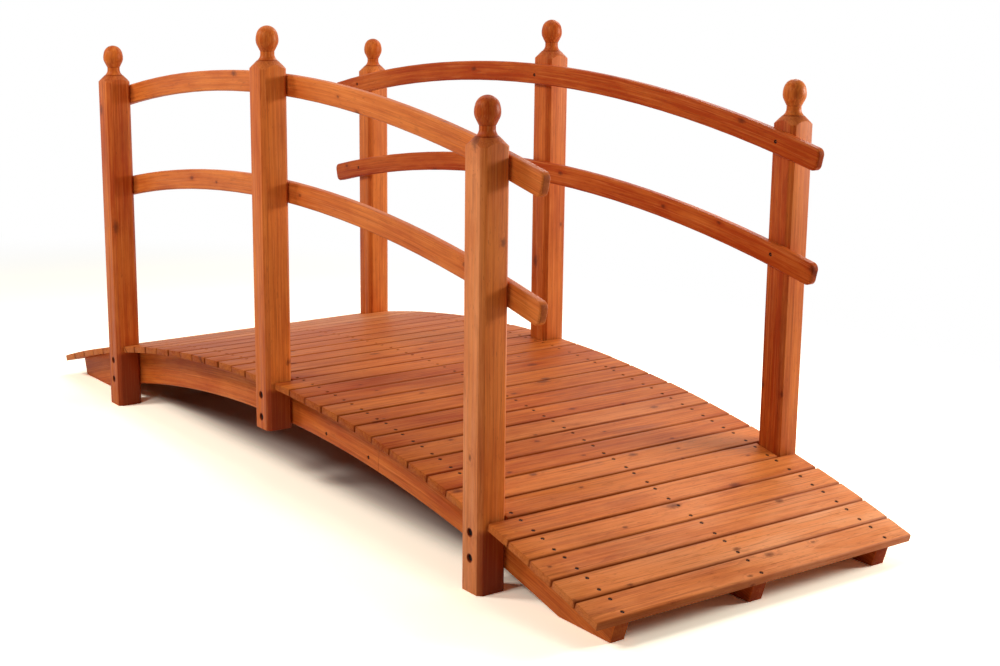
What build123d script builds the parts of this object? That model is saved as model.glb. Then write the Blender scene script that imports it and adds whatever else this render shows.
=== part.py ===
from build123d import *
from math import asin, atan2, ceil, cos, degrees, pi, radians, sin, sqrt, tan
import os

# Arched garden footbridge in stained softwood. Millimetres.
# X runs along the walk and the near end is +X. Y runs across it and the front
# railing is at -Y. Z is up from the ground under the middle of the bridge.

# Plan
post_spacing = 840.0  # middle post to end post, along the walk
walk_width = 734.0  # between the inner faces of the two rows of posts

# Posts
post_size = 66.0  # square timber
post_corner = 9.0  # chamfer down each corner
post_rise = 731.0  # flat top of a post above the deck at its foot
post_cone_radius = 23.5  # flat top, at the upper end of the turned cone
post_cone_slope = 45.0  # degrees from level
middle_post_drop = 8.0  # a middle post ends this far below the stringer

# Turned finials
finial_base_radius = 21.5
finial_base_band = 1.5
finial_neck_radius = 15.8
finial_neck_height = 14.5
finial_crease_radius = 15.9  # where the neck meets the bulb
finial_crease_height = 20.8
finial_bulb_foot_radius = 16.7
finial_bulb_foot_height = 21.8
finial_ball_radius = 25.4
finial_ball_height = 45.0  # widest point above the post
finial_crown_height = 32.0  # from the widest point to the top
finial_crown_radius = 24.2

# Deck
deck_crown = 246.5  # top of the boards at mid span
deck_radius = 4025.0  # arch that the tops of the boards follow
boards_per_bay = 12  # from one row of posts to the next
boards_past_post = 5  # from an end post to the end of the deck
board_gap = 3.5
board_thickness = 16.0
board_setback = 14.0  # board ends inside the outer faces of the posts
board_easing = 2.0
board_post_clearance = 0.8  # around a post
boards_per_node = 5

# Stringers
stringer_thickness = 36.5
stringer_depth = 91.0
stringer_setback = 8.0  # behind the edge of the last board
stringer_easing = 2.0

# Rails, screwed to the inner faces of the posts
rail_radius = 4100.0
rail_depth = 49.0
rail_thickness = 20.0
rail_overrun = 91.0  # past the outer face of an end post
rail_end_round = 14.0
rail_easing = 3.0
upper_rail_rise = 676.0  # rail centre above the deck at mid span
lower_rail_rise = 435.5

# Bolts, two through each post into its stringer
bolt_drop = 18.0  # upper bolt below the top of the stringer
bolt_spacing = 52.5
bolt_diameter = 8.0
bolt_hole_clearance = 0.4
bolt_head_width = 13.0  # across flats
bolt_head_height = 5.5
bolt_recess_diameter = 16.0
bolt_recess_depth = 9.0
washer_diameter = 20.0
washer_thickness = 1.6
nut_height = 6.5
bolt_tip = 4.0  # thread past the nut

# Worked out from the sizes above
deck_centre_z = deck_crown - deck_radius
seat_radius = deck_radius - board_thickness  # top edge of the stringers
keel_radius = seat_radius - stringer_depth  # bottom edge of the stringers
post_line = walk_width / 2 + post_size / 2
post_face = walk_width / 2 + post_size
board_half_length = post_face - board_setback
pitch_angle = asin(post_spacing / (deck_radius - board_thickness / 2)) / boards_per_bay
board_width = seat_radius * pitch_angle - board_gap
last_board = boards_per_bay + boards_past_post
deck_end_angle = last_board * pitch_angle + board_width / 2 / seat_radius
stringer_end_angle = deck_end_angle - stringer_setback / seat_radius
stringer_line = walk_width / 2 - stringer_thickness / 2
rail_line = walk_width / 2 - rail_thickness / 2

SIDES = {"front": -1, "back": 1}
STATIONS = {"far": -1, "middle": 0, "near": 1}


def arc_height(x, centre_z, radius):
    """Height at x of an arch whose centre lies on the Z axis."""
    return centre_z + sqrt(radius * radius - x * x)


def arc_point(angle, radius, centre_z):
    """Point of an arch, as (x, z), at an angle from upright."""
    return (radius * sin(angle), centre_z + radius * cos(angle))


def arched_bar(centre_z, inner_radius, outer_radius, end_angle, thickness):
    """Flat bar sawn to an arch, with its ends cut square to the curve."""
    outer = [arc_point(a, outer_radius, centre_z) for a in (-end_angle, 0, end_angle)]
    inner = [arc_point(a, inner_radius, centre_z) for a in (end_angle, 0, -end_angle)]
    edges = [
        ThreePointArc(*outer),
        Line(outer[2], inner[0]),
        ThreePointArc(*inner),
        Line(inner[2], outer[0]),
    ]
    outline = Plane.XZ * make_face(edges)
    return extrude(outline, thickness / 2, both=True)


def side_edges(bar, thickness):
    """Edges that lie in the two flat sides of a bar which stands in the XZ plane."""
    half = thickness / 2
    return [e for e in bar.edges() if abs(abs(e.center().Y) - half) < 0.01]


def make_stringer(y, holes):
    """Arched stringer with flat feet on the ground."""
    bar = arched_bar(deck_centre_z, keel_radius, seat_radius, stringer_end_angle, stringer_thickness)
    above_ground = Pos(0, 0, seat_radius) * Box(4 * seat_radius, 2 * stringer_thickness, 2 * seat_radius)
    bar = bar & above_ground
    bar = chamfer(side_edges(bar, stringer_thickness), stringer_easing)
    bar = Pos(0, y, 0) * bar
    for hole in holes:
        bar -= hole
    return bar


def bolt_heights(x):
    """Heights of the two bolts in a post at x."""
    upper = arc_height(x, deck_centre_z, seat_radius) - bolt_drop
    return [upper, upper - bolt_spacing]


def across(diameter, length):
    """Cylinder that lies along Y and starts at the origin."""
    return Rot(-90, 0, 0) * Cylinder(diameter / 2, length, align=(Align.CENTER, Align.CENTER, Align.MIN))


def hexagon_across(width, length):
    """Hexagonal bar that lies along Y and starts at the origin."""
    flat_sided = RegularPolygon(width / 2, 6, major_radius=False)
    return Rot(-90, 0, 0) * extrude(flat_sided, length)


def make_bolt():
    """Bolt with its washer and nut, from the bottom of its recess towards +Y."""
    grip = post_size - bolt_recess_depth + stringer_thickness
    head = Pos(0, -bolt_head_height, 0) * hexagon_across(bolt_head_width, bolt_head_height)
    shank = across(bolt_diameter, grip + washer_thickness + nut_height + bolt_tip)
    washer = Pos(0, grip, 0) * across(washer_diameter, washer_thickness)
    nut = Pos(0, grip + washer_thickness, 0) * hexagon_across(bolt_head_width, nut_height)
    return head + shank + washer + nut


def seat_bolt(piece, side, x, z):
    """Turn a piece made for the front row to its side and put it in its recess."""
    if side > 0:
        piece = Rot(0, 0, 180) * piece
    return Pos(x, side * (post_face - bolt_recess_depth), z) * piece


def bolt_hole(side, x, z):
    """Recess and hole that one bolt needs, through the post and the stringer."""
    recess = Pos(0, -bolt_recess_depth, 0) * across(bolt_recess_diameter, bolt_recess_depth)
    length = post_size - bolt_recess_depth + stringer_thickness
    hole = across(bolt_diameter + 2 * bolt_hole_clearance, length)
    return seat_bolt(recess + hole, side, x, z)


def post_top(x):
    return arc_height(x, deck_centre_z, deck_radius) + post_rise


def post_foot(station):
    if station == 0:
        return deck_centre_z + keel_radius - middle_post_drop
    return 0.0


def make_post(station, side):
    """Square post with chamfered corners, a top turned to a cone and recesses for its bolts."""
    x = station * post_spacing
    foot = post_foot(station)
    height = post_top(x) - foot
    octagon = chamfer(Rectangle(post_size, post_size).vertices(), post_corner)
    reach = post_size
    cone_drop = (reach - post_cone_radius) * tan(radians(post_cone_slope))
    turned = Polyline(
        (0, 0), (reach, 0), (reach, height - cone_drop), (post_cone_radius, height), (0, height), close=True
    )
    body = extrude(octagon, height) & revolve(Plane.XZ * make_face(turned), Axis.Z)
    body = Pos(x, side * post_line, foot) * body
    for z in bolt_heights(x):
        body -= bolt_hole(side, x, z)
    return body


def circle_point(centre, radius, angle):
    """Point of a circle at an angle from the X axis."""
    return (centre[0] + radius * cos(angle), centre[1] + radius * sin(angle))


def make_finial(station, side):
    """Turned finial that stands on the flat top of a post."""
    foot = (finial_bulb_foot_radius, finial_bulb_foot_height)
    neck = (finial_neck_radius, finial_neck_height)
    crease = (finial_crease_radius, finial_crease_height)
    band = (finial_base_radius, finial_base_band)

    # The bulb rises from its foot in a straight taper that touches the ball
    ball = (0, finial_ball_height)
    drop = finial_ball_height - foot[1]
    taper_length = sqrt(foot[0] ** 2 + drop**2 - finial_ball_radius**2)
    touch = atan2(foot[0], drop) + atan2(taper_length, finial_ball_radius) - pi / 2

    # Above its widest point the ball is drawn out, with a rounder crown
    top = finial_ball_height + finial_crown_height
    crown = (0, top - finial_crown_radius)
    lift = crown[1] - finial_ball_height
    cheek_reach = finial_ball_radius**2 + lift**2 - finial_crown_radius**2
    cheek_radius = cheek_reach / (2 * (finial_ball_radius - finial_crown_radius))
    cheek = (finial_ball_radius - cheek_radius, finial_ball_height)
    join = atan2(lift, -cheek[0])

    touch_point = circle_point(ball, finial_ball_radius, touch)
    equator = circle_point(ball, finial_ball_radius, 0)
    join_point = circle_point(crown, finial_crown_radius, join)
    profile = [
        Line((0, 0), (finial_base_radius, 0)),
        Line((finial_base_radius, 0), band),
        TangentArc(neck, band, tangent=(0, -1)),
        Line(neck, crease),
        Line(crease, foot),
        Line(foot, touch_point),
        ThreePointArc(touch_point, circle_point(ball, finial_ball_radius, touch / 2), equator),
        ThreePointArc(equator, circle_point(cheek, cheek_radius, join / 2), join_point),
        ThreePointArc(join_point, circle_point(crown, finial_crown_radius, (join + pi / 2) / 2), (0, top)),
        Line((0, top), (0, 0)),
    ]
    turned = revolve(Plane.XZ * make_face(profile), Axis.Z)
    x = station * post_spacing
    return Pos(x, side * post_line, post_top(x)) * turned


def make_rail(side, rise):
    """Arched rail with rounded ends, on the inner faces of a row of posts."""
    centre_z = deck_crown + rise - rail_radius
    end_x = post_spacing + post_size / 2 + rail_overrun
    bar = arched_bar(
        centre_z,
        rail_radius - rail_depth / 2,
        rail_radius + rail_depth / 2,
        asin(end_x / rail_radius),
        rail_thickness,
    )
    corners = [e for e in bar.edges() if abs(e.center().Y) < 0.01]
    bar = fillet(corners, rail_end_round)
    bar = chamfer(side_edges(bar, rail_thickness), rail_easing)
    return Pos(0, side * rail_line, 0) * bar


def make_board(index, post_room):
    """Deck board laid on the arch. In line with a row of posts it only spans the walk."""
    half_length = board_half_length
    if index % boards_per_bay == 0:
        half_length = walk_width / 2 - board_post_clearance
    board = Box(board_width, 2 * half_length, board_thickness)
    top_edges = board.faces().sort_by(Axis.Z)[-1].edges()
    board = chamfer(top_edges, board_easing)
    board = Pos(0, 0, seat_radius + board_thickness / 2) * board
    board = Pos(0, 0, deck_centre_z) * Rot(0, degrees(index * pitch_angle), 0) * board
    for room in post_room:
        board -= room
    return board


def make_post_room():
    """Space that each post takes up in the deck, with its clearance."""
    room = []
    size = post_size + 2 * board_post_clearance
    for station in STATIONS.values():
        for side in SIDES.values():
            x = station * post_spacing
            z = arc_height(x, deck_centre_z, deck_radius)
            room.append(Pos(x, side * post_line, z) * Box(size, size, 8 * board_thickness))
    return room


def make_bridge():
    """All nodes by name."""
    bolts = {name: [] for name in SIDES}
    holes = {name: [] for name in SIDES}
    for name, side in SIDES.items():
        for station in STATIONS.values():
            x = station * post_spacing
            for z in bolt_heights(x):
                bolts[name].append(seat_bolt(make_bolt(), side, x, z))
                holes[name].append(bolt_hole(side, x, z))

    nodes = {"middle_stringer": make_stringer(0, [])}
    for name, side in SIDES.items():
        nodes[f"{name}_stringer"] = make_stringer(side * stringer_line, holes[name])
        nodes[f"{name}_upper_rail"] = make_rail(side, upper_rail_rise)
        nodes[f"{name}_lower_rail"] = make_rail(side, lower_rail_rise)
        nodes[f"{name}_bolts"] = Compound(children=bolts[name])
        for place, station in STATIONS.items():
            nodes[f"{name}_{place}_post"] = make_post(station, side)
            nodes[f"{name}_{place}_finial"] = make_finial(station, side)

    post_room = make_post_room()
    boards = [make_board(i, post_room) for i in range(-last_board, last_board + 1)]
    for group in range(ceil(len(boards) / boards_per_node)):
        first = group * boards_per_node
        some = boards[first:first + boards_per_node]
        nodes[f"deck_boards_{group + 1}"] = Compound(children=some)
    return nodes


os.makedirs("parts", exist_ok=True)
for node_name, solid in make_bridge().items():
    export_step(solid, f"parts/{node_name}.step")
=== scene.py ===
import math
import random

import bpy
from mathutils import Matrix, Vector


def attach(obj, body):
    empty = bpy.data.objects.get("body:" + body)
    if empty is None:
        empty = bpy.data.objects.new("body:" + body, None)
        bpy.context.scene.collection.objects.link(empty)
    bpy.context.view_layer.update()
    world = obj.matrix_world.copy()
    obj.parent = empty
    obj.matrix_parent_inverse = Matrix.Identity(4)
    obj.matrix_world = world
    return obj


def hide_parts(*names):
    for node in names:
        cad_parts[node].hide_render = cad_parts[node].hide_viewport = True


# Arched garden footbridge in stained softwood, in metres. X runs along the walk,
# the front railing is at -Y, and Z is up from the ground.

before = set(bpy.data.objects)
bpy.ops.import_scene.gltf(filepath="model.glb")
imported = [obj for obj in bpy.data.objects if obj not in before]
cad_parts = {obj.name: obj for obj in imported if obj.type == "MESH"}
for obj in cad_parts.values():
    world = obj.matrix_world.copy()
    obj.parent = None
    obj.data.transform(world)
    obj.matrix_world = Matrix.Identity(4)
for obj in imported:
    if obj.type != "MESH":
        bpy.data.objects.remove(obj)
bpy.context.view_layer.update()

# Sizes that the timbers were cut to
post_spacing = 0.840
post_half = 0.033
post_rise = 0.731
deck_radius = 4.025
deck_crown = 0.2465
board_thickness = 0.016
board_gap = 0.0035
board_half_length = 0.419
boards_per_bay = 12
boards_past_post = 5
boards_per_group = 5
walk_half_width = 0.367
board_post_clearance = 0.0008
stringer_lines = (-0.34875, 0.0, 0.34875)
bolt_drop = 0.018  # upper bolt below the seat of the boards
bolt_spacing = 0.0525
bolt_recess_radius = 0.008
finial_crease_height = 0.0212  # above the top of the post
rail_radius = 4.100
rail_face = 0.347
upper_rail_crown = 0.9225
lower_rail_crown = 0.682

# How far one board differs from the next
board_width_play = 0.0015  # sawn wider or narrower
board_length_play = 0.0026  # cut short at each end, at most
board_place_play = 0.0007  # laid to one side
board_shift_play = 0.0004  # laid towards one end
board_easing_range = (0.0016, 0.0034)
board_end_easing = 0.0014

# Splice of the front stringer, and the screws beside it as (x, z)
splice_x = 0.405
splice_drop = 0.060  # middle of the saw below the seat of the boards
splice_saw = (0.0009, 0.0024, 0.20)
stringer_screws = ((0.183, 0.1526), (0.3625, 0.1424))

# Wood screws
screw_spread = 0.0200  # either side of a board's centre line
screw_wander = 0.0018
rail_screw_wander = 0.003
screw_head_radius = 0.0045
screw_hole_radius = 0.0051
screw_hole_depth = 0.0022
screw_head_sunk = 0.0012  # face of the head below the wood
screw_sides = 16

# Shapes of a screw and its hole, as shares of their radius
hole_cone = (0.72, 1.12)  # lower and upper end of the cutter
head_rim = 0.22
head_dish = 0.06
head_cross = (1.25, 0.3, 0.5)  # length, width and height of each arm of the recess

# Timber edges as sanded
post_edge = 0.0012
stringer_edge = 0.0008
rail_edge = 0.0009

# Clean meshes: points this close are one, and angles in degrees
weld_distance = 0.00001
flat_angle = 0.5
sharp_angle = 28
smooth_angle = 35
deck_smooth_angle = 40

# Worked out from them
arch_centre_z = deck_crown - deck_radius
seat_radius = deck_radius - board_thickness
board_pitch = math.asin(post_spacing / (deck_radius - board_thickness / 2)) / boards_per_bay
board_width = seat_radius * board_pitch - board_gap
last_board = boards_per_bay + boards_past_post
post_line = walk_half_width + post_half
sides = {"front": -1, "back": 1}
stations = {"far": -1, "middle": 0, "near": 1}

random.seed(27)


def arch_height(x):
    """Height of the seat that the boards lie on."""
    return arch_centre_z + math.sqrt(seat_radius ** 2 - x ** 2)


# Helpers for modelling

def deselect_all():
    if bpy.context.object and bpy.context.object.mode != "OBJECT":
        bpy.ops.object.mode_set(mode="OBJECT")
    bpy.ops.object.select_all(action="DESELECT")


def take(piece):
    """Select one object alone and make it the active one."""
    deselect_all()
    piece.select_set(True)
    bpy.context.view_layer.objects.active = piece


def bake_place(piece):
    """Put the object's place, turn and scale into its mesh."""
    take(piece)
    bpy.ops.object.transform_apply(location=True, rotation=True, scale=True)


def select_edges(piece, wanted):
    """In edit mode, select the edges for which wanted(start, end) holds."""
    bpy.ops.object.mode_set(mode="EDIT")
    bpy.ops.mesh.select_mode(type="EDGE")
    bpy.ops.mesh.select_all(action="DESELECT")
    bpy.ops.object.mode_set(mode="OBJECT")
    points = piece.data.vertices
    for edge in piece.data.edges:
        start, end = (points[i].co for i in edge.vertices)
        edge.select = wanted(start, end)
    bpy.ops.object.mode_set(mode="EDIT")


def select_faces(piece, wanted):
    """In edit mode, select the faces for which wanted(face) holds."""
    bpy.ops.object.mode_set(mode="EDIT")
    bpy.ops.mesh.select_mode(type="FACE")
    bpy.ops.mesh.select_all(action="DESELECT")
    bpy.ops.object.mode_set(mode="OBJECT")
    for face in piece.data.polygons:
        face.select = wanted(face)
    bpy.ops.object.mode_set(mode="EDIT")


def apply_modifier(piece, kind, **settings):
    """Add a modifier with its settings and apply it."""
    take(piece)
    modifier = piece.modifiers.new(kind.title(), kind)
    for name, value in settings.items():
        setattr(modifier, name, value)
    bpy.ops.object.modifier_apply(modifier=modifier.name)


def smooth(piece, angle=smooth_angle):
    take(piece)
    bpy.ops.object.shade_smooth_by_angle(angle=math.radians(angle))


def join(pieces, name):
    """One object from several, with the first one's materials and the name given."""
    deselect_all()
    for piece in pieces:
        piece.select_set(True)
    bpy.context.view_layer.objects.active = pieces[0]
    if len(pieces) > 1:
        bpy.ops.object.join()
    joined = bpy.context.object
    joined.name = name
    joined.data.name = name
    return joined


def copy_of(piece):
    twin = piece.copy()
    twin.data = piece.data.copy()
    bpy.context.scene.collection.objects.link(twin)
    return twin


def place_copy(piece, matrix):
    """Copy of a small part with its place in its own mesh."""
    twin = copy_of(piece)
    twin.data.transform(matrix)
    return twin


def remove(piece):
    bpy.data.objects.remove(piece, do_unlink=True)


def paint(piece, material):
    piece.data.materials.clear()
    piece.data.materials.append(material)


def hand_in(piece, slot, *nodes):
    """Last step for each piece: it rides on the bridge and stands for its nodes."""
    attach(piece, "root")
    if nodes:
        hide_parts(*nodes)


# Helpers for shader nodes

def fill(tree, node, inputs):
    """Set the inputs named, or link those whose value comes from another node."""
    for name, value in inputs.items():
        socket = node.inputs[name]
        if isinstance(value, bpy.types.NodeSocket):
            tree.links.new(value, socket)
        else:
            socket.default_value = value


def add(tree, kind, inputs=None, **settings):
    """Shader node with its settings, and with its inputs set or linked."""
    node = tree.nodes.new(kind)
    for name, value in settings.items():
        setattr(node, name, value)
    fill(tree, node, inputs or {})
    return node


def maths(tree, operation, *values, clamp=False):
    node = add(tree, "ShaderNodeMath", dict(enumerate(values)), operation=operation, use_clamp=clamp)
    return node.outputs[0]


def plus(tree, first, second, clamp=False):
    return maths(tree, "ADD", first, second, clamp=clamp)


def minus(tree, first, second):
    return maths(tree, "SUBTRACT", first, second)


def times(tree, first, second):
    return maths(tree, "MULTIPLY", first, second)


def absolute(tree, value):
    return maths(tree, "ABSOLUTE", value)


def vector_maths(tree, operation, *values, output="Vector", **named):
    node = add(tree, "ShaderNodeVectorMath", {**dict(enumerate(values)), **named}, operation=operation)
    return node.outputs[output]


def stretch(tree, vector, x, y, z):
    return vector_maths(tree, "MULTIPLY", vector, (x, y, z))


def length(tree, vector):
    return vector_maths(tree, "LENGTH", vector, output="Value")


def split(tree, vector):
    return add(tree, "ShaderNodeSeparateXYZ", {"Vector": vector}).outputs


def combine(tree, x, y, z=0.0):
    return add(tree, "ShaderNodeCombineXYZ", {"X": x, "Y": y, "Z": z}).outputs[0]


def split_colour(tree, colour):
    return add(tree, "ShaderNodeSeparateColor", {"Color": colour}).outputs


def luck_of(tree, number):
    """Random value and colour, always the same for the same number."""
    return add(tree, "ShaderNodeTexWhiteNoise", {"W": number}, noise_dimensions="1D").outputs


def remap(tree, value, low, high, to_low=0.0, to_high=1.0, style="SMOOTHSTEP"):
    """Value brought from one range to another, held at both ends."""
    inputs = {"Value": value, "From Min": low, "From Max": high, "To Min": to_low, "To Max": to_high}
    return add(tree, "ShaderNodeMapRange", inputs, interpolation_type=style).outputs["Result"]


def mix_colour(tree, factor, first, second, blend="MIX"):
    inputs = {"Factor": factor, 6: first, 7: second}
    return add(tree, "ShaderNodeMix", inputs, data_type="RGBA", blend_type=blend).outputs[2]


def noise(tree, vector, scale, detail, roughness, distortion=0.0):
    inputs = {
        "Vector": vector,
        "Scale": scale,
        "Detail": detail,
        "Roughness": roughness,
        "Distortion": distortion,
    }
    return add(tree, "ShaderNodeTexNoise", inputs, noise_dimensions="3D").outputs["Fac"]


def grain_noise(tree, place, across, along, detail, roughness, distortion=0.0):
    """Noise drawn out along the grain, with so many waves a metre across it and along it."""
    return noise(tree, stretch(tree, place, across, across, along), 1.0, detail, roughness, distortion)


def group_tree(name, inputs, outputs):
    """Node group with named sockets, and its input and output nodes."""
    tree = bpy.data.node_groups.new(name, "ShaderNodeTree")
    for socket_name, kind, value in inputs:
        socket = tree.interface.new_socket(socket_name, in_out="INPUT", socket_type=kind)
        if value is not None:
            socket.default_value = value
    for socket_name, kind in outputs:
        tree.interface.new_socket(socket_name, in_out="OUTPUT", socket_type=kind)
    return tree, tree.nodes.new("NodeGroupInput").outputs, tree.nodes.new("NodeGroupOutput")


def use_group(tree, group, inputs):
    return add(tree, "ShaderNodeGroup", inputs, node_tree=group).outputs


def mix_shaders(tree, output_kind, factor, first, second):
    """Last nodes of a tree: what it shows is a mix of two shaders."""
    mix = add(tree, "ShaderNodeMixShader", {0: factor, 1: first.outputs[0], 2: second.outputs[0]})
    add(tree, output_kind, {"Surface": mix.outputs[0]})


def srgb(red, green, blue):
    """Colour from the 0 to 255 values that a screen shows."""
    def linear(value):
        value /= 255
        return value / 12.92 if value <= 0.04045 else ((value + 0.055) / 1.055) ** 2.4
    return (linear(red), linear(green), linear(blue), 1.0)


# Wood finish

bleach_and_sheen_colour = srgb(243, 172, 124)
stain_rubbed = srgb(238, 150, 84)
stain_pale = srgb(224, 122, 48)
stain_deep = srgb(170, 62, 14)
grain_line = srgb(112, 36, 8)
knot_brown = srgb(70, 22, 8)
seed_shift = (1.731, 2.317, 5.113)  # to another place in the grain, for each whole seed

# Sheen of the clear finish
finish_ior = 1.5
grain_bump_strength = 0.35
grain_bump_distance = 0.0004
warm_sheen = (1.0, 0.68, 0.45, 1.0)
deep_sheen = (1.0, 0.60, 0.34, 1.0)
post_gloss = 0.25
finial_gloss = 0.13
finial_polish = 0.80  # share of the wood's roughness that is left
stringer_gloss = 0.15
deck_gloss = 0.08

# Painted shade in the chamfers, under the deck, in and round the bolt recesses and at the finials' foot and
# crease, and stain with painted shade along the board edges: distances at which it starts to show and is at
# its deepest
chamfer_shade = 0.12
under_deck_shade_depth = 0.6
bolt_shade_ring = (0.0026, 0.0004)  # beyond the recess
bolt_recess_shade_strength = 1.7
board_edge_ring = (0.0058, 0.0006)  # in from the long edges
finial_foot_shade_ring = (0.0040, 0.0008)
finial_crease_shade_ring = (0.0016, 0.0004)
finial_crease_shade = 0.6

FLOAT, VECTOR, COLOUR = "NodeSocketFloat", "NodeSocketVector", "NodeSocketColor"


def make_knot_group():
    """Knots seen on a face: a dark mask, its rim, and the swirl of the grain round them.

    The vector is in metres, with Z along the grain. Cells is how far apart knots may
    lie across and along the grain, and Share is how many of the cells hold one.
    """
    tree, given, result = group_tree(
        "Knots",
        [("Vector", VECTOR, None), ("Cells", VECTOR, None), ("Share", FLOAT, None), ("Radius", FLOAT, None)],
        [("Knot", FLOAT), ("Ring", FLOAT), ("Swirl", FLOAT)],
    )
    # Thickness counts almost as much as depth, so faces side by side have knots of their own
    parts = split(tree, vector_maths(tree, "DIVIDE", given["Vector"], given["Cells"]))
    flat = combine(tree, plus(tree, parts["X"], times(tree, parts["Y"], 0.9)), parts["Z"])
    cell = add(tree, "ShaderNodeTexVoronoi", {"Vector": flat, "Scale": 1.0}, voronoi_dimensions="2D").outputs
    away = vector_maths(tree, "SUBTRACT", flat, cell["Position"])
    size = split(tree, given["Cells"])
    away = vector_maths(tree, "MULTIPLY", away, combine(tree, size["X"], size["Z"]))

    # Each knot is longer along the grain, with a ragged edge and a size of its own
    away = stretch(tree, away, 1.0, 0.55, 0.0)
    wobble = noise(tree, given["Vector"], 190.0, 2.0, 0.6)
    distance = times(tree, length(tree, away), plus(tree, 0.45, times(tree, wobble, 1.1)))
    luck = split_colour(tree, cell["Color"])
    present = maths(tree, "LESS_THAN", luck["Red"], given["Share"])
    spread = times(tree, luck["Green"], luck["Green"])
    radius = times(tree, given["Radius"], plus(tree, 0.4, spread))
    share = maths(tree, "DIVIDE", distance, radius)
    masks = {
        "Knot": remap(tree, share, 1.5, 0.2),
        "Ring": times(tree, remap(tree, share, 0.35, 0.95), remap(tree, share, 2.0, 1.0)),
        "Swirl": remap(tree, share, 5.0, 0.4),
    }
    fill(tree, result, {name: times(tree, mask, present) for name, mask in masks.items()})
    return tree


def make_wood_group(knots):
    """Stained softwood. The vector is in metres, with Z along the grain.

    Tone runs from pale stain at 0 to deep stain at 1. Figure is how strongly the
    streaks show, and Pith is where the middle of the tree was.
    """
    tree, given, result = group_tree(
        "Stained softwood",
        [
            ("Vector", VECTOR, None),
            ("Seed", FLOAT, 0.0),
            ("Tone", FLOAT, 0.5),
            ("Ring Spacing", FLOAT, 0.0035),
            ("Pith", VECTOR, (0.03, -0.06, 0.0)),
            ("Knot Cells", VECTOR, (0.07, 0.07, 0.35)),
            ("Knot Share", FLOAT, 0.5),
            ("Knot Radius", FLOAT, 0.006),
            ("End Grain", FLOAT, 0.0),
            ("Stain And Painted Shade", FLOAT, 0.0),
            ("Figure", FLOAT, 0.35),
            ("Bleach And Sheen", FLOAT, 0.0),
            ("Painted Light", FLOAT, 1.0),
        ],
        [("Color", COLOUR), ("Roughness", FLOAT), ("Height", FLOAT)],
    )
    shift = vector_maths(tree, "SCALE", seed_shift, Scale=given["Seed"])
    place = vector_maths(tree, "ADD", given["Vector"], shift)
    knot = use_group(tree, knots, {
        "Vector": place,
        "Cells": given["Knot Cells"],
        "Share": given["Knot Share"],
        "Radius": given["Knot Radius"],
    })

    # Growth rings, as cylinders round a pith line that wanders along the timber
    wander = grain_noise(tree, place, 9.0, 1.6, 3.0, 0.55)
    from_pith = vector_maths(tree, "SUBTRACT", given["Vector"], given["Pith"])
    radius = length(tree, stretch(tree, from_pith, 1.0, 1.0, 0.0))
    radius = plus(tree, radius, times(tree, wander, 0.050))
    radius = plus(tree, radius, times(tree, knot["Swirl"], 0.006))
    rings = maths(tree, "DIVIDE", radius, given["Ring Spacing"])
    ring_share = maths(tree, "FRACT", rings)
    late = times(tree, maths(tree, "POWER", ring_share, 2.2), remap(tree, ring_share, 1.0, 0.9))
    ring_luck = luck_of(tree, maths(tree, "FLOOR", rings))["Value"]
    late = times(tree, late, plus(tree, 0.25, times(tree, ring_luck, 0.75)))
    faded = grain_noise(tree, place, 26.0, 3.4, 2.0, 0.6)
    late = times(tree, late, remap(tree, faded, 0.36, 0.62, 0.22, 1.0))

    # Fibres, streaks along the grain and patches where the stain took unevenly
    fibre = grain_noise(tree, place, 750.0, 14.0, 2.0, 0.6)
    streak = remap(tree, grain_noise(tree, place, 140.0, 3.0, 3.0, 0.6), 0.34, 0.66)
    patch = grain_noise(tree, place, 18.0, 4.5, 4.0, 0.65)
    smudge = remap(tree, grain_noise(tree, place, 60.0, 17.0, 3.0, 0.6, 0.4), 0.60, 0.76)
    smudge = times(tree, smudge, 0.6)
    fleck = remap(tree, grain_noise(tree, place, 420.0, 55.0, 1.0, 0.5), 0.66, 0.74)
    hairs = grain_noise(tree, place, 300.0, 5.0, 3.0, 0.65)
    dark_hair = remap(tree, hairs, 0.54, 0.72)
    pale_hair = remap(tree, hairs, 0.46, 0.30)

    # Depth of the stain, then what lies over it, each with its strength and its colour
    depth = plus(tree, given["Tone"], times(tree, minus(tree, patch, 0.5), 1.5))
    depth = plus(tree, depth, times(tree, minus(tree, streak, 0.5), given["Figure"]))
    depth = plus(tree, depth, times(tree, knot["Swirl"], 0.20), clamp=True)
    colour = mix_colour(tree, depth, stain_pale, stain_deep)
    # Bleached stain, which also paints sheen and light on lit faces and on the deck's ends
    bleach_and_sheen = times(tree, given["Bleach And Sheen"], remap(tree, patch, 0.64, 0.36, 0.5, 1.0))
    colour = mix_colour(tree, bleach_and_sheen, colour, bleach_and_sheen_colour)
    # Stain at the end grain, and stain with painted shade at edges, recesses and creases
    stain_and_shade = maths(tree, "MAXIMUM", given["End Grain"], given["Stain And Painted Shade"])
    for mask, strength, stain in (
        (pale_hair, 0.30, stain_rubbed),
        (dark_hair, given["Figure"], grain_line),
        (smudge, given["Figure"], grain_line),
        (late, 0.37, grain_line),
        (fleck, 0.30, grain_line),
        (knot["Knot"], 0.68, knot_brown),
        (knot["Ring"], 0.30, knot_brown),
        (stain_and_shade, 0.50, grain_line),
    ):
        colour = mix_colour(tree, times(tree, mask, strength), colour, stain)
    # Fibres vary the colour a little, and Painted Light brightens or shades the whole of it
    light = times(tree, plus(tree, 0.90, times(tree, fibre, 0.20)), given["Painted Light"])
    colour = mix_colour(tree, 1.0, colour, combine(tree, light, light, light), "MULTIPLY")

    roughness = plus(tree, 0.36, times(tree, fibre, 0.16))
    roughness = plus(tree, roughness, times(tree, patch, 0.10))
    roughness = plus(tree, roughness, times(tree, given["End Grain"], 0.18))
    roughness = minus(tree, roughness, times(tree, late, 0.08))

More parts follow.
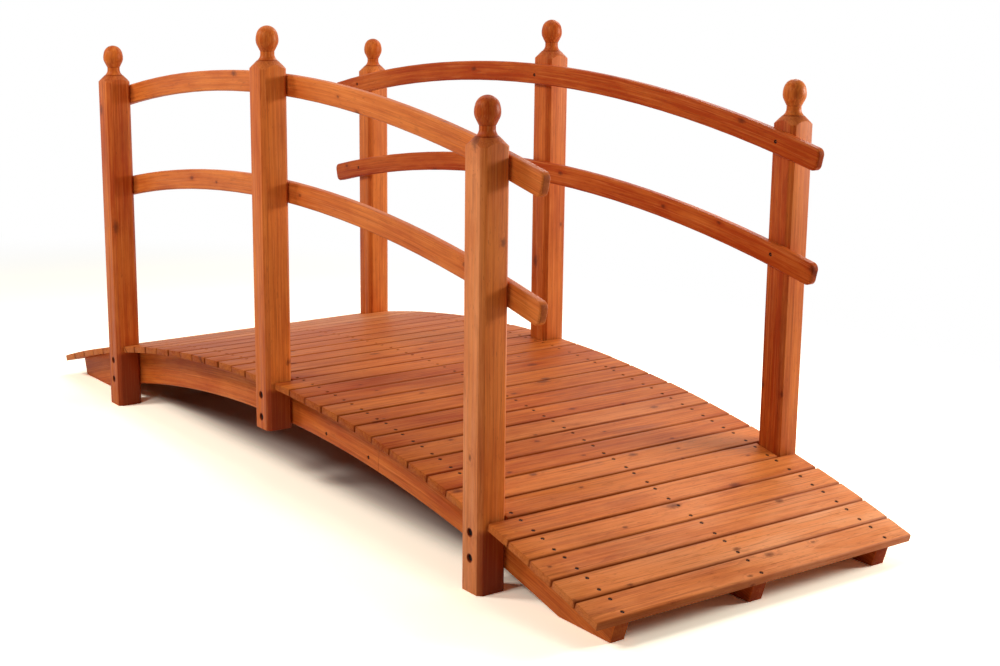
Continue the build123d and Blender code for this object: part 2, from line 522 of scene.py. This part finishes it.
    height = plus(tree, times(tree, late, 0.45), times(tree, fibre, 0.45))
    height = minus(tree, height, times(tree, fleck, 0.5))
    height = plus(tree, height, times(tree, knot["Knot"], 0.5))
    fill(tree, result, {"Color": colour, "Roughness": roughness, "Height": height})
    return tree


def make_upright_group():
    """Masks of a post: its end grain, outer faces and chamfers, and its painted shade under the deck and
    round the bolts.
    """
    tree, given, result = group_tree(
        "Upright timber",
        [("Object", VECTOR, None), ("Normal", VECTOR, None), ("Upper Bolt", VECTOR, None)],
        [
            ("End Grain", FLOAT),
            ("Under Deck Shade", FLOAT),
            ("Bolt Recess Shade", FLOAT),
            ("Outer Face", FLOAT),
            ("Chamfer", FLOAT),
        ],
    )
    lean = split(tree, given["Normal"])
    facing = absolute(tree, lean["Y"])
    slant = times(tree, absolute(tree, lean["X"]), facing)

    # Painted shade on faces under the deck that look along the walk
    place = split(tree, given["Object"])
    rise = maths(tree, "SQRT", minus(tree, seat_radius ** 2, maths(tree, "POWER", place["X"], 2.0)))
    below_deck = minus(tree, plus(tree, rise, arch_centre_z), place["Z"])
    under_deck_shade = times(tree, remap(tree, below_deck, -0.004, 0.012), remap(tree, facing, 0.85, 0.60))

    # Painted shade in and round both bolt recesses, from the distance to the nearer one
    from_bolt = split(tree, vector_maths(tree, "SUBTRACT", given["Object"], given["Upper Bolt"]))
    rise = absolute(tree, plus(tree, from_bolt["Z"], bolt_spacing / 2))
    rise = minus(tree, rise, bolt_spacing / 2)
    away = length(tree, combine(tree, from_bolt["X"], rise))
    outer, inner = (bolt_recess_radius + reach for reach in bolt_shade_ring)
    fill(tree, result, {
        "End Grain": remap(tree, absolute(tree, lean["Z"]), 0.45, 0.97),
        "Under Deck Shade": under_deck_shade,
        "Bolt Recess Shade": remap(tree, away, outer, inner, 0.0, bolt_recess_shade_strength),
        "Outer Face": remap(tree, facing, 0.60, 0.85),
        "Chamfer": remap(tree, slant, 0.30, 0.46),
    })
    return tree


def make_arch_group():
    """Timber that follows an arch: depth, thickness and length along the curve."""
    tree, given, result = group_tree(
        "Arched timber",
        [
            ("Object", VECTOR, None),
            ("Normal", VECTOR, None),
            ("Centre Z", FLOAT, None),
            ("Radius", FLOAT, None),
        ],
        [("Vector", VECTOR), ("End Grain", FLOAT)],
    )
    place = split(tree, given["Object"])
    rise = minus(tree, place["Z"], given["Centre Z"])
    angle = maths(tree, "ARCTAN2", place["X"], rise)
    squares = plus(tree, maths(tree, "POWER", rise, 2.0), times(tree, place["X"], place["X"]))
    depth = minus(tree, maths(tree, "SQRT", squares), given["Radius"])
    along = times(tree, angle, given["Radius"])
    lean = absolute(tree, split(tree, given["Normal"])["X"])
    fill(tree, result, {
        "Vector": combine(tree, depth, place["Y"], along),
        "End Grain": remap(tree, lean, 0.75, 0.95),
    })
    return tree


def make_board_group():
    """Deck boards: across, thickness and length, with luck of its own for each board."""
    tree, given, result = group_tree(
        "Deck board",
        [("Object", VECTOR, None), ("Normal", VECTOR, None)],
        [
            ("Vector", VECTOR),
            ("End Grain", FLOAT),
            ("Stain And Painted Shade", FLOAT),
            ("Number", FLOAT),
            ("Luck", FLOAT),
            ("Second Luck", FLOAT),
        ],
    )
    place = split(tree, given["Object"])
    rise = minus(tree, place["Z"], arch_centre_z)
    angle = maths(tree, "ARCTAN2", place["X"], rise)
    number = maths(tree, "ROUND", maths(tree, "DIVIDE", angle, board_pitch))
    turn = minus(tree, angle, times(tree, number, board_pitch))
    across = times(tree, turn, deck_radius)
    reach = times(tree, rise, maths(tree, "DIVIDE", 1.0, maths(tree, "COSINE", angle)))
    luck = luck_of(tree, number)
    lean = absolute(tree, split(tree, given["Normal"])["Y"])
    # Stain gathered along the long edges, with the shade of the gaps painted in too
    inner, outer = (board_width / 2 - inset for inset in board_edge_ring)
    fill(tree, result, {
        "Vector": combine(tree, across, minus(tree, reach, deck_radius), place["Y"]),
        "End Grain": remap(tree, lean, 0.80, 0.97),
        "Stain And Painted Shade": remap(tree, absolute(tree, across), inner, outer),
        "Number": number,
        "Luck": luck["Value"],
        "Second Luck": split_colour(tree, luck["Color"])["Green"],
    })
    return tree


wood_group = make_wood_group(make_knot_group())
upright_group = make_upright_group()
arch_group = make_arch_group()
board_group = make_board_group()


def start_material(name):
    material = bpy.data.materials.new(name)
    material.use_nodes = True
    tree = material.node_tree
    shader = tree.nodes["Principled BSDF"]
    place = tree.nodes.new("ShaderNodeTexCoord").outputs
    return material, tree, shader, place


def finish_wood(tree, shader, wood, gloss, tint):
    """Semi-gloss clear finish over the stained grain."""
    bump = add(tree, "ShaderNodeBump", {
        "Strength": grain_bump_strength,
        "Distance": grain_bump_distance,
        "Height": wood["Height"],
    })
    fill(tree, shader, {
        "Base Color": wood["Color"],
        "Roughness": wood["Roughness"],
        "Normal": bump.outputs["Normal"],
        "IOR": finish_ior,
        "Specular IOR Level": gloss,
        "Specular Tint": tint,
    })


def upright_wood(name, seed, tones, upper_bolt, values):
    """Finish of a post, with shade painted below the deck, on the chamfers and round the bolts, and light
    and shade painted by the way each face looks.
    """
    outer_tone, side_tone, bleach_and_sheen = tones
    material, tree, shader, place = start_material(name)
    timber = use_group(tree, upright_group, {
        "Object": place["Object"],
        "Normal": place["Normal"],
        "Upper Bolt": upper_bolt,
    })
    # Faces across the walk and along it have tones of their own, which also paint the light and shade each
    # side gets
    tone = remap(tree, timber["Outer Face"], 0.0, 1.0, side_tone, outer_tone, "LINEAR")
    # Chamfers painted deeper, as the shade where they turn from the light
    tone = plus(tree, tone, times(tree, timber["Chamfer"], chamfer_shade))
    wood = use_group(tree, wood_group, {
        "Vector": place["Object"],
        "End Grain": timber["End Grain"],
        "Stain And Painted Shade": maths(tree, "MAXIMUM", timber["Under Deck Shade"], timber["Bolt Recess Shade"]),
        "Seed": seed,
        "Tone": plus(tree, tone, times(tree, timber["Under Deck Shade"], under_deck_shade_depth)),
        "Bleach And Sheen": times(tree, timber["Outer Face"], bleach_and_sheen),
        **values,
    })
    finish_wood(tree, shader, wood, post_gloss, warm_sheen)
    return material


def turned_wood(name, seed, tone, foot, values):
    """Finish of a finial: glossy, with shade painted at its foot and in its crease."""
    material, tree, shader, place = start_material(name)
    height = minus(tree, split(tree, place["Object"])["Z"], foot)
    at_foot = remap(tree, height, *finial_foot_shade_ring)
    from_crease = absolute(tree, minus(tree, height, finial_crease_height))
    in_crease = remap(tree, from_crease, *finial_crease_shade_ring, 0.0, finial_crease_shade)
    wood = use_group(tree, wood_group, {
        "Vector": place["Object"],
        "Stain And Painted Shade": maths(tree, "MAXIMUM", at_foot, in_crease),
        "Seed": seed,
        "Tone": tone,
        **values,
    })
    finish_wood(tree, shader, wood, finial_gloss, warm_sheen)
    fill(tree, shader, {"Roughness": times(tree, wood["Roughness"], finial_polish)})
    return material


def arched_wood(name, seed, tone, centre_z, radius, gloss, tint, values):
    """Finish of a stringer or a rail."""
    material, tree, shader, place = start_material(name)
    timber = use_group(tree, arch_group, {
        "Object": place["Object"],
        "Normal": place["Normal"],
        "Centre Z": centre_z,
        "Radius": radius,
    })
    wood = use_group(tree, wood_group, {
        "Vector": timber["Vector"],
        "End Grain": timber["End Grain"],
        "Seed": seed,
        "Tone": tone,
        **values,
    })
    finish_wood(tree, shader, wood, gloss, tint)
    return material


pale_boards = (-15, -9, 8, 11, 16)


def board_wood():
    """Finish of the deck, which varies from board to board and along each board."""
    material, tree, shader, place = start_material("Stained deck boards")
    timber = use_group(tree, board_group, {"Object": place["Object"], "Normal": place["Normal"]})
    number = timber["Number"]

    # Each board has its own tone, and both ends of the deck are painted paler with light and sheen, the far
    # end more
    tone = remap(tree, timber["Luck"], 0.0, 1.0, 0.16, 0.50, "LINEAR")
    from_crown = absolute(tree, number)
    tone = plus(tree, tone, remap(tree, from_crown, 8.0, 14.0, 0.04, -0.28))
    bleach_and_sheen = remap(tree, from_crown, 11.0, 16.0, 0.0, 0.48)
    far = remap(tree, number, -5.0, -10.0)
    tone = minus(tree, tone, times(tree, far, 0.12))
    bleach_and_sheen = plus(tree, bleach_and_sheen, times(tree, far, 0.25))
    for pale_board in pale_boards:
        picked = maths(tree, "COMPARE", number, float(pale_board), 0.1)
        tone = minus(tree, tone, times(tree, picked, 0.20))
        bleach_and_sheen = plus(tree, bleach_and_sheen, times(tree, picked, 0.16))

    # Painted light and shade: the back of the walk is paler and brighter than the front, and the middle of
    # the deck darker than its ends
    lit_side = remap(tree, split(tree, timber["Vector"])["Z"], -0.34, 0.24)
    tone = plus(tree, tone, times(tree, minus(tree, 1.0, lit_side), 0.14))
    bleach_and_sheen = times(tree, bleach_and_sheen, plus(tree, 0.25, times(tree, lit_side, 0.75)))
    painted_light = remap(tree, from_crown, 7.0, 15.0, 0.75, 0.94)
    painted_light = plus(tree, painted_light, times(tree, lit_side, 0.12))

    pith_side = remap(tree, timber["Second Luck"], 0.0, 1.0, -0.05, 0.05, "LINEAR")
    wood = use_group(tree, wood_group, {
        "Vector": timber["Vector"],
        "End Grain": times(tree, timber["End Grain"], 0.35),
        "Seed": plus(tree, number, times(tree, timber["Luck"], 9.0)),
        "Tone": tone,
        "Pith": combine(tree, pith_side, -0.05),
        "Ring Spacing": 0.0042,
        "Stain And Painted Shade": timber["Stain And Painted Shade"],
        "Knot Cells": (0.062, 0.062, 0.24),
        "Knot Share": 0.55,
        "Knot Radius": 0.0052,
        "Figure": 0.42,
        "Bleach And Sheen": bleach_and_sheen,
        "Painted Light": painted_light,
    })
    finish_wood(tree, shader, wood, deck_gloss, deep_sheen)
    return material


def dark_steel(name, darker, paler):
    """Blackened steel of screws and bolts, mottled between two colours."""
    material, tree, shader, place = start_material(name)
    mottle = noise(tree, place["Object"], 420.0, 3.0, 0.6)
    bump = add(tree, "ShaderNodeBump", {"Strength": 0.25, "Distance": 0.0002, "Height": mottle})
    fill(tree, shader, {
        "Base Color": mix_colour(tree, mottle, darker, paler),
        "Roughness": remap(tree, mottle, 0.2, 0.8, 0.45, 0.70, "LINEAR"),
        "Normal": bump.outputs["Normal"],
        "Metallic": 0.6,
        "Specular IOR Level": 0.25,
    })
    return material


# Screws

def model_screw_hole():
    """Cutter for one countersunk hole, with the wood's face at Z 0."""
    deselect_all()
    lower, upper = hole_cone
    bpy.ops.mesh.primitive_cone_add(
        vertices=screw_sides,
        radius1=screw_hole_radius * lower,
        radius2=screw_hole_radius * upper,
        depth=2 * screw_hole_depth,
        location=(0, 0, 0),
    )
    cutter = bpy.context.object
    bake_place(cutter)
    return cutter


def model_screw():
    """Countersunk screw head with a cross recess, its face a little below Z 0."""
    deselect_all()
    bpy.ops.mesh.primitive_cylinder_add(
        vertices=screw_sides,
        radius=screw_head_radius,
        depth=screw_hole_depth,
        location=(0, 0, -screw_head_sunk - screw_hole_depth / 2),
    )
    head = bpy.context.object
    bake_place(head)
    select_faces(head, lambda face: face.normal.z > 0.9)
    bpy.ops.mesh.inset(thickness=screw_head_radius * head_rim, depth=screw_head_radius * head_dish)
    bpy.ops.object.mode_set(mode="OBJECT")
    arms = []
    for turn in (0, 90):
        deselect_all()
        bpy.ops.mesh.primitive_cube_add(
            size=1.0,
            location=(0, 0, -screw_head_sunk),
            scale=[screw_head_radius * share for share in head_cross],
            rotation=(0, 0, math.radians(turn)),
        )
        arm = bpy.context.object
        bake_place(arm)
        arms.append(arm)
    for arm in arms:
        cut(head, arm)
    return head


def cut(piece, cutter):
    """Cut one object out of a piece and throw the cutter away."""
    apply_modifier(piece, "BOOLEAN", object=cutter, operation="DIFFERENCE", solver="EXACT")
    remove(cutter)


def drill(piece, cutter, spots):
    """Countersunk holes in a piece, one at each spot."""
    cut(piece, join([place_copy(cutter, spot) for spot in spots], "screw_holes"))
    smooth(piece)


def finish_screws(screws, name, steel):
    """Screws as one piece."""
    screws = join(screws, name)
    smooth(screws)
    paint(screws, steel)
    hand_in(screws, "dark_steel")


# Timbers that keep their shape and get sanded edges

def eased_timber(node, edge, material, slot):
    """Copy of a node with its faces joined up and its sharp edges rounded."""
    piece = copy_of(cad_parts[node])
    piece.name = f"{node}_timber"
    piece.data.name = piece.name
    for key in list(piece.keys()):
        del piece[key]
    piece.parent = None
    take(piece)
    bpy.ops.object.mode_set(mode="EDIT")
    bpy.ops.mesh.select_all(action="SELECT")
    bpy.ops.mesh.remove_doubles(threshold=weld_distance)
    bpy.ops.mesh.dissolve_limited(angle_limit=math.radians(flat_angle))
    bpy.ops.object.mode_set(mode="OBJECT")
    if piece.data.has_custom_normals:
        bpy.ops.mesh.customdata_custom_splitnormals_clear()
    apply_modifier(
        piece, "BEVEL", width=edge, segments=2, limit_method="ANGLE",
        angle_limit=math.radians(sharp_angle), use_clamp_overlap=True,
    )
    smooth(piece)
    paint(piece, material)
    hand_in(piece, slot, node)
    return piece


# First seed of each kind of timber and the step to the next
grain_seeds = {"post": (4.0, 1.37), "finial": (21.0, 2.11), "stringer": (40.0, 3.3), "rail": (60.0, 2.7)}


def seeds_of(kind):
    """Seeds that give each timber of one kind a place of its own in the grain."""
    seed, step = grain_seeds[kind]
    while True:
        seed += step
        yield seed


# Tone of the faces that look across the walk and of those that look along it, painting
# the light and shade on each side too, and how far the first are bleached and painted with sheen
post_tones_and_face_shade = {
    ("front", "near"): (0.16, 0.28, 0.32),
    ("front", "middle"): (0.42, 0.30, 0.0),
    ("front", "far"): (0.54, 0.66, 0.0),
    ("back", "near"): (0.84, 0.34, 0.0),
    ("back", "middle"): (0.54, 0.52, 0.0),
    ("back", "far"): (0.34, 0.30, 0.0),
}


def dress_posts():
    seeds = seeds_of("post")
    for (side, station), tones in post_tones_and_face_shade.items():
        x = stations[station] * post_spacing
        y = sides[side] * post_line
        upper_bolt = (x, y, arch_height(x) - bolt_drop)
        wood = upright_wood(f"Stained {side} {station} post", next(seeds), tones, upper_bolt, {
            "Pith": (x + 0.020, y + 0.055, 0.0),
            "Ring Spacing": 0.0045,
            "Knot Share": 0.42,
        })
        eased_timber(f"{side}_{station}_post", post_edge, wood, "post_wood")


finial_tones = {
    ("front", "far"): 0.55,
    ("front", "middle"): 0.45,
    ("front", "near"): 0.92,
    ("back", "far"): 0.60,
    ("back", "middle"): 0.72,
    ("back", "near"): 0.38,
}


def dress_finials():
    seeds = seeds_of("finial")
    for (side, station), tone in finial_tones.items():
        x = stations[station] * post_spacing
        y = sides[side] * post_line
        foot = arch_centre_z + math.sqrt(deck_radius ** 2 - x ** 2) + post_rise
        wood = turned_wood(f"Turned {side} {station} finial", next(seeds), tone, foot, {
            "Pith": (x - 0.045, y + 0.02, 0.0),
            "Ring Spacing": 0.0038,
            "Knot Share": 0.0,
        })
        paint(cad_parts[f"{side}_{station}_finial"], wood)


# The middle and back stringers are deeper in tone as painted shade under the deck
stringer_tones_and_shade = {"front": 0.52, "middle": 0.95, "back": 0.95}


def dress_stringers(cutter, screw, steel):
    seeds = seeds_of("stringer")
    for (name, tone), y in zip(stringer_tones_and_shade.items(), stringer_lines):
        wood = arched_wood(
            f"Stained {name} stringer", next(seeds), tone, arch_centre_z, seat_radius,
            stringer_gloss, deep_sheen,
            {"Pith": (-0.14, y + 0.02, 0.0), "Ring Spacing": 0.005, "Knot Share": 0.35},
        )
        piece = eased_timber(f"{name}_stringer", stringer_edge, wood, "stringer_wood")
        if name == "front":
            splice_front_stringer(piece)
            turn = Matrix.Rotation(math.pi / 2, 4, "X")
            spots = [Matrix.Translation((x, -walk_half_width, z)) @ turn for x, z in stringer_screws]
            drill(piece, cutter, spots)
            finish_screws([place_copy(screw, spot) for spot in spots], "stringer_screws", steel)


def splice_front_stringer(piece):
    """Sawn joint down the outside of the front stringer, where two lengths meet."""
    deselect_all()
    bpy.ops.mesh.primitive_cube_add(
        size=1.0,
        location=(splice_x, -walk_half_width, arch_height(splice_x) - splice_drop),
        scale=splice_saw,
        rotation=(0, math.asin(splice_x / seat_radius), 0),
    )
    saw = bpy.context.object
    bake_place(saw)
    cut(piece, saw)
    smooth(piece)


# Tone, gloss and sheen of the rails on each side; the back rails' deeper tone also paints the shade on them
rail_tones_and_shade = {"front": (0.36, 0.25, warm_sheen), "back": (0.82, 0.11, deep_sheen)}


def rail_screw_spots(side, crown):
    """Where one rail is screwed to its posts, as matrices on its inner face."""
    spots = []
    for station in stations.values():
        x = station * post_spacing + random.uniform(-rail_screw_wander, rail_screw_wander)
        z = crown - rail_radius + math.sqrt(rail_radius ** 2 - x ** 2)
        z += random.uniform(-rail_screw_wander, rail_screw_wander)
        turn = Matrix.Rotation(side * math.pi / 2, 4, "X")
        spots.append(Matrix.Translation((x, side * rail_face, z)) @ turn)
    return spots


def dress_rails(cutter, screw, steel):
    seeds = seeds_of("rail")
    screws = []
    for side, (tone, gloss, tint) in rail_tones_and_shade.items():
        for level, crown in (("upper", upper_rail_crown), ("lower", lower_rail_crown)):
            wood = arched_wood(
                f"Stained {side} {level} rail", next(seeds), tone, crown - rail_radius, rail_radius,
                gloss, tint, {
                    "Pith": (-0.07, sides[side] * 0.40, 0.0),
                    "Ring Spacing": 0.004,
                    "Knot Cells": (0.05, 0.05, 0.20),
                    "Knot Share": 0.7,
                    "Knot Radius": 0.005,
                },
            )
            rail = eased_timber(f"{side}_{level}_rail", rail_edge, wood, "rail_wood")
            spots = rail_screw_spots(sides[side], crown)
            drill(rail, cutter, spots)
            screws += [place_copy(screw, spot) for spot in spots]
    finish_screws(screws, "rail_screws", steel)


# Deck boards and their screws

def screw_places():
    """Screws of one board, as (along the board, across it), a pair on each stringer."""
    places = []
    for line in stringer_lines:
        for side in (-1, 1):
            along = line + random.uniform(-screw_wander, screw_wander)
            across = side * screw_spread + random.uniform(-screw_wander, screw_wander)
            places.append((along, across))
    return places


def board_matrix(index):
    """From a board lying with its top at the origin to its place on the arch."""
    turn = Matrix.Rotation(index * board_pitch, 4, "Y")
    return Matrix.Translation((0, 0, arch_centre_z)) @ turn @ Matrix.Translation((0, 0, deck_radius))


def model_board(index):
    """One board, flat at the origin with its top at Z 0, with its edges sanded."""
    half = board_half_length - random.uniform(0.0, board_length_play)
    shift = random.uniform(-board_shift_play, board_shift_play)
    width = board_width + random.uniform(-board_width_play, board_width_play)
    aside = random.uniform(-board_place_play, board_place_play)
    easing = random.uniform(*board_easing_range)
    if index % boards_per_bay == 0:
        half = walk_half_width - board_post_clearance
        shift = 0.0
    if abs(index) == last_board:
        width = board_width
        aside = 0.0
        easing = board_easing_range[1]
    deselect_all()
    bpy.ops.mesh.primitive_cube_add(
        size=1.0,
        location=(aside, shift, -board_thickness / 2),
        scale=(width, 2 * half, board_thickness),
    )
    board = bpy.context.object
    bake_place(board)
    select_edges(board, lambda a, b: abs(a.y - b.y) > half and min(a.z, b.z) > -board_thickness / 2)
    bpy.ops.mesh.bevel(offset=easing, segments=3, affect="EDGES")
    select_edges(board, lambda a, b: abs(a.y - b.y) < 0.001)
    bpy.ops.mesh.bevel(offset=board_end_easing, segments=2, affect="EDGES")
    bpy.ops.object.mode_set(mode="OBJECT")
    return board


def make_deck(cutter, screw, wood, steel):
    """All boards, in the groups of the frame's nodes, and all their screws."""
    screws = []
    boards = []
    for index in range(-last_board, last_board + 1):
        board = model_board(index)
        spots = [Matrix.Translation((across, along, 0)) for along, across in screw_places()]
        drill(board, cutter, spots)
        for spot in spots:
            turn = Matrix.Rotation(random.uniform(0, math.pi), 4, "Z")
            screws.append(place_copy(screw, board_matrix(index) @ spot @ turn))
        board.data.transform(board_matrix(index))
        boards.append(board)
    for group in range(len(boards) // boards_per_group):
        first = group * boards_per_group
        some = join(boards[first:first + boards_per_group], f"deck_boards_{group + 1}_planks")
        smooth(some, deck_smooth_angle)
        paint(some, wood)
        hand_in(some, "board_wood", f"deck_boards_{group + 1}")
    finish_screws(screws, "deck_screws", steel)


# Camera, light and floor

camera_azimuth = 53.713
camera_elevation = 12.869
camera_roll = 0.679
camera_distance = 4.2347
camera_shift_right = 0.2059
camera_shift_up = 0.2974
camera_reach = 200
focal_length_in_widths = 1.7011
sensor_width = 36.0


def make_camera():
    """Camera where the photograph was taken from."""
    azimuth = math.radians(camera_azimuth)
    elevation = math.radians(camera_elevation)
    roll = math.radians(camera_roll)
    back = Vector((
        math.sin(azimuth) * math.cos(elevation),
        -math.cos(azimuth) * math.cos(elevation),
        math.sin(elevation),
    ))
    level = Vector((math.cos(azimuth), math.sin(azimuth), 0))
    upright = back.cross(level)
    right = level * math.cos(roll) + upright * math.sin(roll)
    up = upright * math.cos(roll) - level * math.sin(roll)
    place = back * camera_distance + right * camera_shift_right + up * camera_shift_up
    lens = bpy.data.cameras.new("Camera")
    lens.sensor_width = sensor_width
    lens.lens = focal_length_in_widths * sensor_width
    lens.clip_end = camera_reach
    camera = bpy.data.objects.new("Camera", lens)
    bpy.context.scene.collection.objects.link(camera)
    camera.matrix_world = Matrix.Translation(place) @ Matrix((right, up, back)).transposed().to_4x4()
    bpy.context.scene.camera = camera


# Place, target, width, height and power in watts
softboxes = {
    "Left softbox": ((-1.5, -2.7, 2.5), (-0.1, 0, 0.4), 0.8, 0.8, 50),
    "Front softbox": ((0.8, -2.9, 2.5), (0.3, 0, 0.4), 0.9, 0.9, 36),
    "Right softbox": ((2.05, 2.95, 1.3), (0.5, 0, 0.4), 1.2, 0.8, 98),
    "Back softbox": ((-0.9, 2.3, 2.3), (0.4, 0, 0.2), 1.2, 1.2, 24),
    "Top softbox": ((-0.1, 0.3, 3.6), (0.0, 0, 0.2), 2.4, 1.6, 30),
}


def make_softboxes():
    """Flat studio lights that face their targets."""
    for name, (place, target, width, height, power) in softboxes.items():
        lamp = bpy.data.lights.new(name, "AREA")
        lamp.shape = "RECTANGLE"
        lamp.size = width
        lamp.size_y = height
        lamp.energy = power
        light = bpy.data.objects.new(name, lamp)
        bpy.context.scene.collection.objects.link(light)
        light.location = place
        light.rotation_euler = (Vector(place) - Vector(target)).to_track_quat("Z", "Y").to_euler()


white = (1, 1, 1, 1)
fill_strength = 0.10


def make_world():
    """Even fill light, with a white background for the camera."""
    world = bpy.data.worlds.new("Studio")
    world.use_nodes = True
    bpy.context.scene.world = world
    tree = world.node_tree
    tree.nodes.clear()
    path = tree.nodes.new("ShaderNodeLightPath").outputs
    seen = maths(tree, "MAXIMUM", path["Is Camera Ray"], path["Is Glossy Ray"])
    seen = maths(tree, "MAXIMUM", seen, path["Is Transmission Ray"])
    dim = add(tree, "ShaderNodeBackground", {"Color": white, "Strength": fill_strength})
    bright = add(tree, "ShaderNodeBackground", {"Color": white, "Strength": 1.0})
    mix_shaders(tree, "ShaderNodeOutputWorld", seen, dim, bright)


floor_half = 60.0
floor_drop = 0.0002
plain_paper = (0.92, 0.92, 0.92, 1)  # for the light that bounces off it
open_paper = (1.95, 1.86, 1.52, 1)  # for the camera, which burns it out to white in the open
painted_shadow_paper = (0.52, 0.43, 0.36, 1)  # for the camera, a painted contact shadow under the deck
shade_across = (0.255, 0.365)  # where the shade fades out, from the middle of the bridge
shade_along = (0.80, 1.28)
oval_stretch = 0.55  # distances along the bridge count less than those across it
white_from = (0.9, 2.0)  # where the paper turns to even white


def make_floor():
    """White paper: the camera sees it burnt out in the open, with a contact shadow painted under the deck.
    """
    deselect_all()
    bpy.ops.mesh.primitive_plane_add(size=2 * floor_half, location=(0, 0, -floor_drop))
    floor = bpy.context.object
    floor.name = "studio_floor"
    material = bpy.data.materials.new("Studio floor")
    material.use_nodes = True
    tree = material.node_tree
    tree.nodes.clear()
    path = tree.nodes.new("ShaderNodeLightPath").outputs
    place = tree.nodes.new("ShaderNodeTexCoord").outputs["Object"]
    parts = split(tree, place)
    across = remap(tree, absolute(tree, parts["Y"]), *shade_across, 1.0, 0.0)
    along = remap(tree, absolute(tree, parts["X"]), *shade_along, 1.0, 0.0)
    shown = mix_colour(tree, times(tree, across, along), open_paper, painted_shadow_paper)
    colour = mix_colour(tree, path["Is Camera Ray"], plain_paper, shown)
    oval = length(tree, stretch(tree, place, oval_stretch, 1.0, 0.0))
    seen = maths(tree, "MAXIMUM", path["Is Camera Ray"], path["Is Glossy Ray"])
    to_white = times(tree, remap(tree, oval, *white_from), seen)
    paper = add(tree, "ShaderNodeBsdfDiffuse", {"Color": colour})
    glow = add(tree, "ShaderNodeEmission", {"Color": white, "Strength": 1.0})
    mix_shaders(tree, "ShaderNodeOutputMaterial", to_white, paper, glow)
    paint(floor, material)


make_camera()
make_world()
make_softboxes()
make_floor()
screw_steel = dark_steel("Dark steel", srgb(18, 13, 11), srgb(46, 32, 26))
bolt_steel = dark_steel("Black steel", srgb(8, 5, 4), srgb(24, 16, 13))
dress_posts()
dress_finials()
screw_hole = model_screw_hole()
screw = model_screw()
dress_stringers(screw_hole, screw, screw_steel)
dress_rails(screw_hole, screw, screw_steel)
make_deck(screw_hole, screw, board_wood(), screw_steel)
remove(screw_hole)
remove(screw)
for side in sides:
    paint(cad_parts[f"{side}_bolts"], bolt_steel)

scene = bpy.context.scene
scene.view_settings.view_transform = "Standard"
